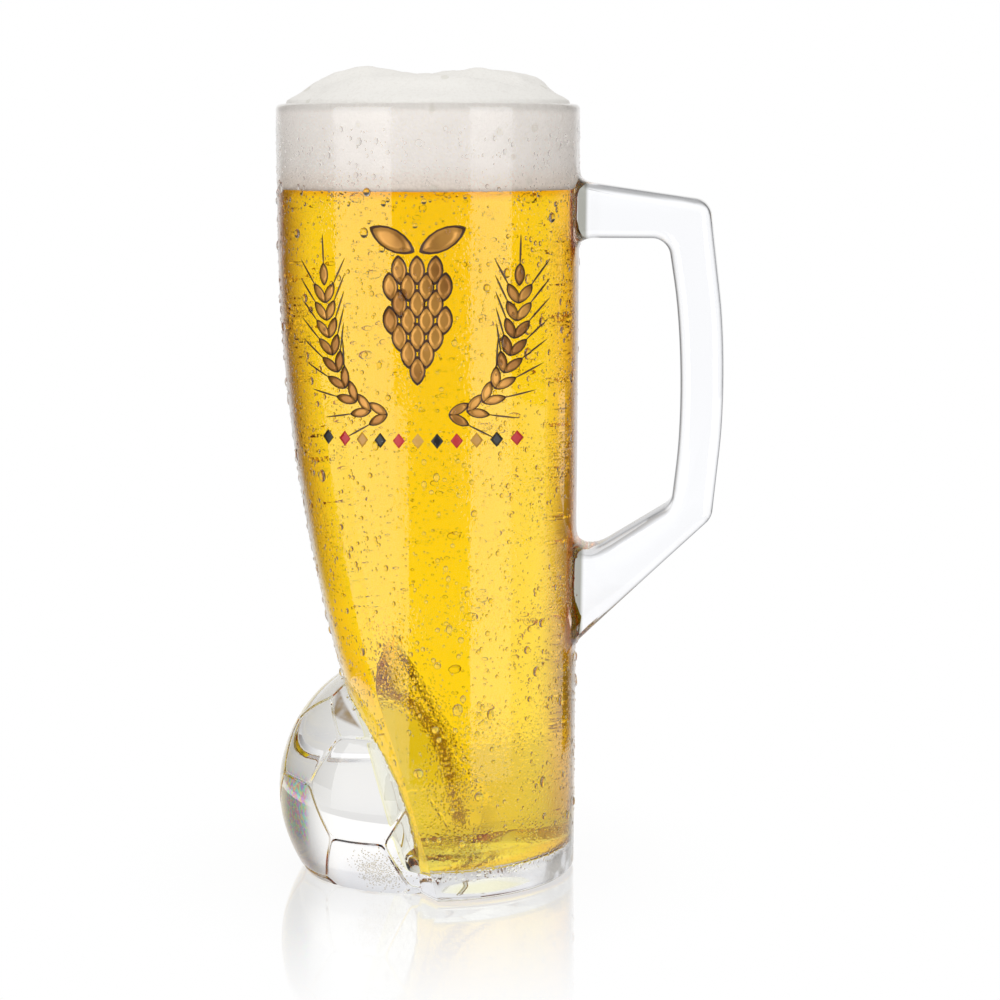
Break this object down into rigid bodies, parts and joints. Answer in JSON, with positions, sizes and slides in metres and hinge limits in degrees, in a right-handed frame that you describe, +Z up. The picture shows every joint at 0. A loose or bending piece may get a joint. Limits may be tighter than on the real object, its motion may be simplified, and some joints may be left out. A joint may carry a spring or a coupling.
{
  "type": "beer mug",
  "caption": "Tall clear glass beer mug with an angular handle and a football moulded into one side of its foot, filled with golden beer under a foam head.",
  "frame": {"origin": "on the standing plane, under the axis of the round rim, on the flat underside of the glass body", "axes": "+Z up along the mug's axis, +X towards the handle, -X towards the football, Y across; both sides of the XZ plane are alike"},
  "size_m": [0.1141, 0.0762, 0.2043],
  "materials": {
    "clear_glass": "gloss",
    "beer": "gloss",
    "foam": "matte",
    "print_enamel": "satin",
    "condensation": "gloss"
  },
  "bodies": {
    "root": {"glass_body": "clear_glass", "football_foot": "clear_glass", "handle": "clear_glass", "beer": "beer", "foam_head": "foam"}
  },
  "joints": []
}
